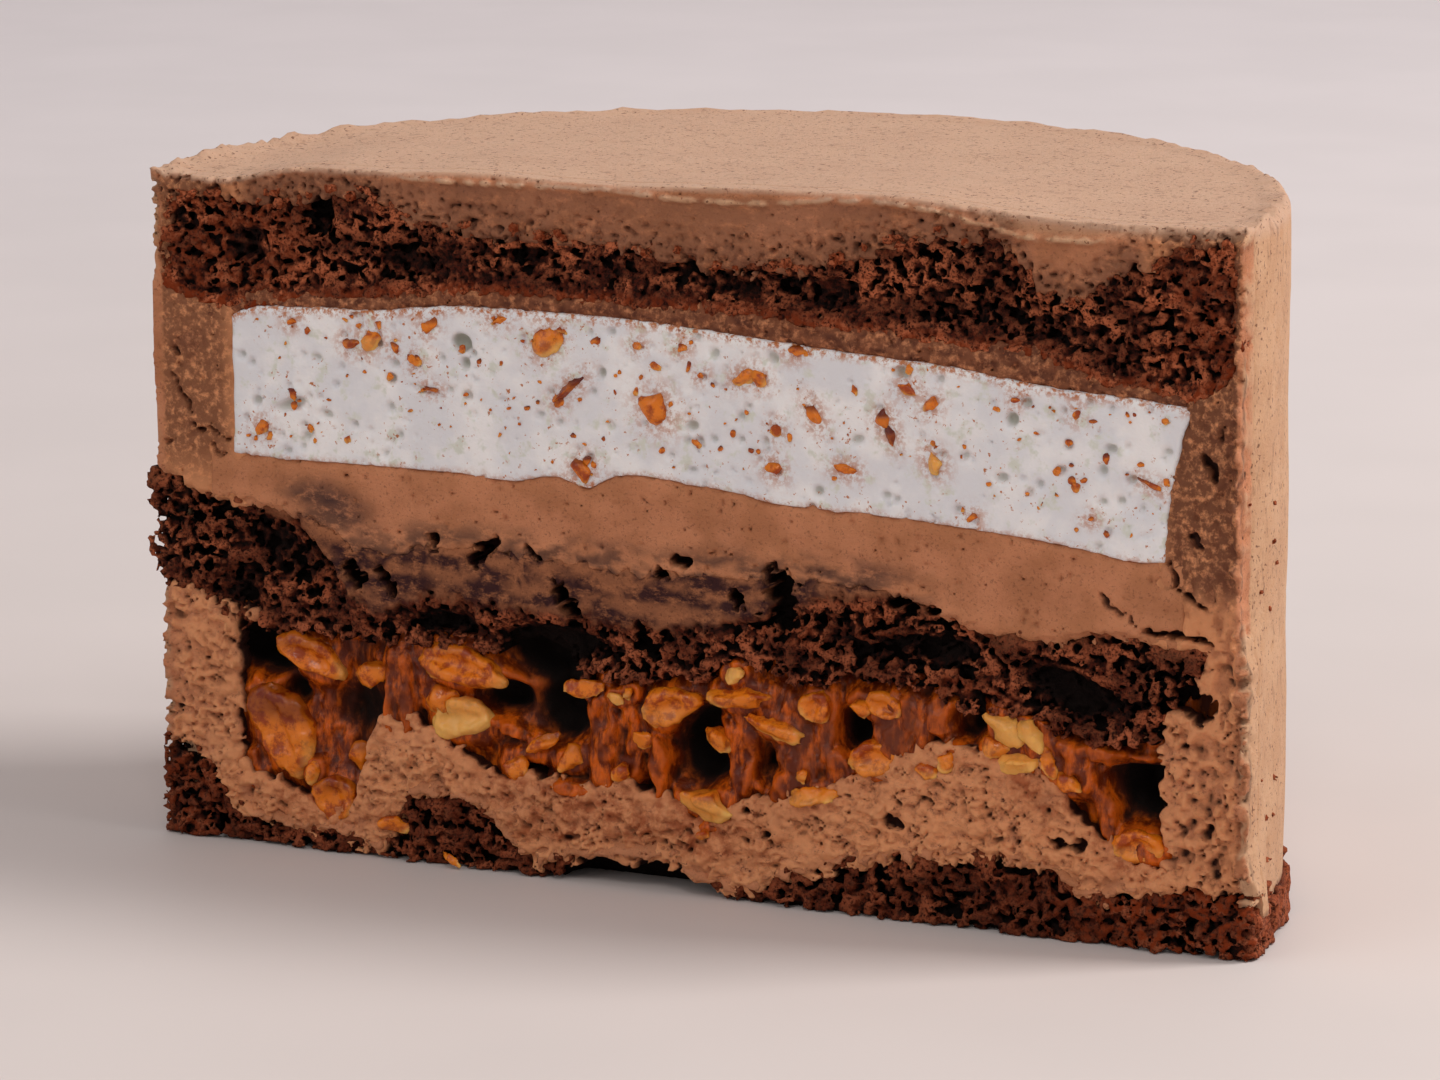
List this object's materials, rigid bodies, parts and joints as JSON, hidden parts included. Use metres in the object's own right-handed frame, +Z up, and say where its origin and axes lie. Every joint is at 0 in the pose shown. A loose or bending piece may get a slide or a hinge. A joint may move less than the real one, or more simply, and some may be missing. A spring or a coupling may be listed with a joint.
{
  "type": "half of a layered chocolate cake",
  "caption": "Half of a tall round chocolate layer cake with cream coat, sponge, white nougat and caramel nut filling showing on its flat cut face.",
  "frame": {"origin": "middle of the base of the box round the half cake, on the surface it stands on", "axes": "+Z up, +X along the cut from the viewer's left to right, +Y away from the cut face towards the round side; the cut face looks along -Y"},
  "size_m": [0.1668, 0.0824, 0.0967],
  "materials": {
    "chocolate_cream": "soft whipped cream, matte with fine pores",
    "chocolate_sponge": "coarse dark crumb, matte",
    "white_nougat": "airy white foam with small bubbles and nut bits",
    "caramel_with_nuts": "sticky amber caramel over roasted nut halves"
  },
  "bodies": {
    "root": {"coat": "chocolate_cream", "sponge_top": "chocolate_sponge", "cream_band": "chocolate_cream", "nougat": "white_nougat", "cream_middle": "chocolate_cream", "sponge_middle": "chocolate_sponge", "caramel_nuts": "caramel_with_nuts", "cream_bed": "chocolate_cream", "sponge_bottom": "chocolate_sponge"}
  },
  "joints": []
}
